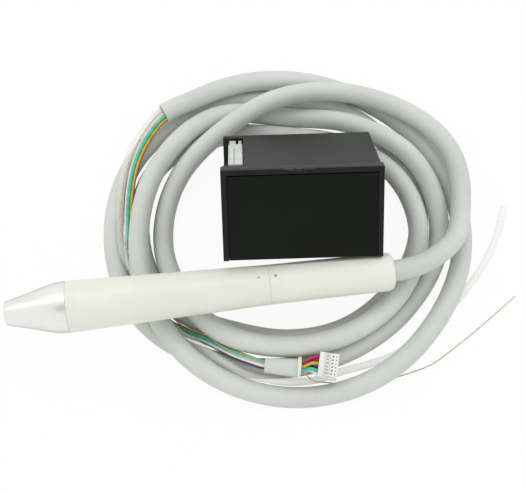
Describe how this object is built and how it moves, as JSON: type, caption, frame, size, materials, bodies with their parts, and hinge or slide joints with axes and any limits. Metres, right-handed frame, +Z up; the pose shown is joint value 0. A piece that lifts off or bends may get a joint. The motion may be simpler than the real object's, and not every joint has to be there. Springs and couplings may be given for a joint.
{
  "type": "ultrasonic scaler handpiece set",
  "caption": "Dental ultrasonic scaler set: slim handpiece plugged into a tail connector, loose coil of hose with its cut wires and connector, and a small leaning control module.",
  "frame": {"origin": "on the surface, under the middle of the box of handpiece, tail and module", "axes": "+Z up from the surface, +Y towards the back of the picture, +X to its right; the handpiece points to -X, turned by 6.65 degrees"},
  "size_m": [0.1953, 0.1434, 0.0578],
  "materials": {
    "nose": "satin turned metal",
    "rubber": "matt black",
    "clear": "milky, slightly glossy",
    "board": "green laminate",
    "white_plastic": "moulded, satin",
    "ivory": "satin ivory",
    "steel": "turned",
    "ceramic": "fired piezo ceramic, dull",
    "contact_brass": "plated contact metal",
    "black_shell": "fine-grained black",
    "panel": "smooth, glossy black",
    "ferrite": "dull grey",
    "copper": "enamelled copper wire, tape wrapped",
    "hose": "smooth silicone, satin",
    "tan": "insulated fine wire",
    "wire_teal": "insulation, satin",
    "wire_yellow": "insulation, satin",
    "wire_crimson": "insulation, satin",
    "wire_navy": "insulation, satin",
    "wire_grey": "insulation, satin",
    "wire_red": "insulation, satin"
  },
  "bodies": {
    "set": {"tail_plug": "white_plastic", "plug_seal": "rubber", "contact_pin_1": "contact_brass", "contact_pin_2": "contact_brass", "contact_pin_3": "contact_brass", "contact_pin_4": "contact_brass", "contact_pin_5": "contact_brass", "contact_pin_6": "contact_brass", "water_spigot": "steel", "tail_shell": "ivory", "hose_clamp": "contact_brass", "module_shell": "black_shell", "front_panel": "panel", "base_plate": "black_shell", "base_screw_1": "steel", "base_screw_2": "steel", "base_screw_3": "steel", "base_screw_4": "steel", "circuit_board": "board", "transformer_core": "ferrite", "transformer_winding": "copper", "capacitor_1": "ferrite", "capacitor_2": "ferrite", "heat_sink": "nose", "power_transistor": "ferrite", "power_header": "white_plastic", "hose_coil": "hose", "hose_lead": "hose", "hose_end": "hose", "wire_teal": "wire_teal", "wire_yellow": "wire_yellow", "wire_crimson": "wire_crimson", "wire_navy": "wire_navy", "wire_grey": "wire_grey", "wire_red": "wire_red", "water_tube": "clear", "wire_tan": "tan", "hose_sleeve": "hose", "cable_tie": "white_plastic", "connector_housing": "white_plastic"},
    "handpiece": {"handpiece_shell": "ivory", "light_guide": "clear", "lamp_ring": "board", "lamp_carrier": "white_plastic", "horn": "steel", "flange_ring_front": "rubber", "flange_ring_rear": "rubber", "piezo_disc_1": "ceramic", "piezo_disc_2": "ceramic", "piezo_disc_3": "ceramic", "piezo_disc_4": "ceramic", "back_mass": "steel", "stack_bolt": "steel", "contact_block": "white_plastic"},
    "nose_travel": {"nose_seal": "rubber"},
    "nose": {"nose_cone": "nose"}
  },
  "joints": [
    {"name": "handpiece_pull_off", "type": "slide", "parent": "set", "child": "handpiece", "axis": [-0.9933, -0.1158, 0], "range_m": [0, 0.03]},
    {"name": "nose_travel", "type": "slide", "parent": "handpiece", "child": "nose_travel", "axis": [-0.9933, -0.1158, 0], "range_m": [0, 0.00302]},
    {"name": "nose_turn", "type": "hinge", "parent": "nose_travel", "child": "nose", "pos_m": [-0.072, -0.03474, 0.0257], "axis": [-0.9933, -0.1158, 0], "range_deg": [0, 1440]}
  ],
  "couplings": [
    {"joint": "nose_travel", "follows": "nose_turn", "m_per_rad": 0.00011937}
  ]
}
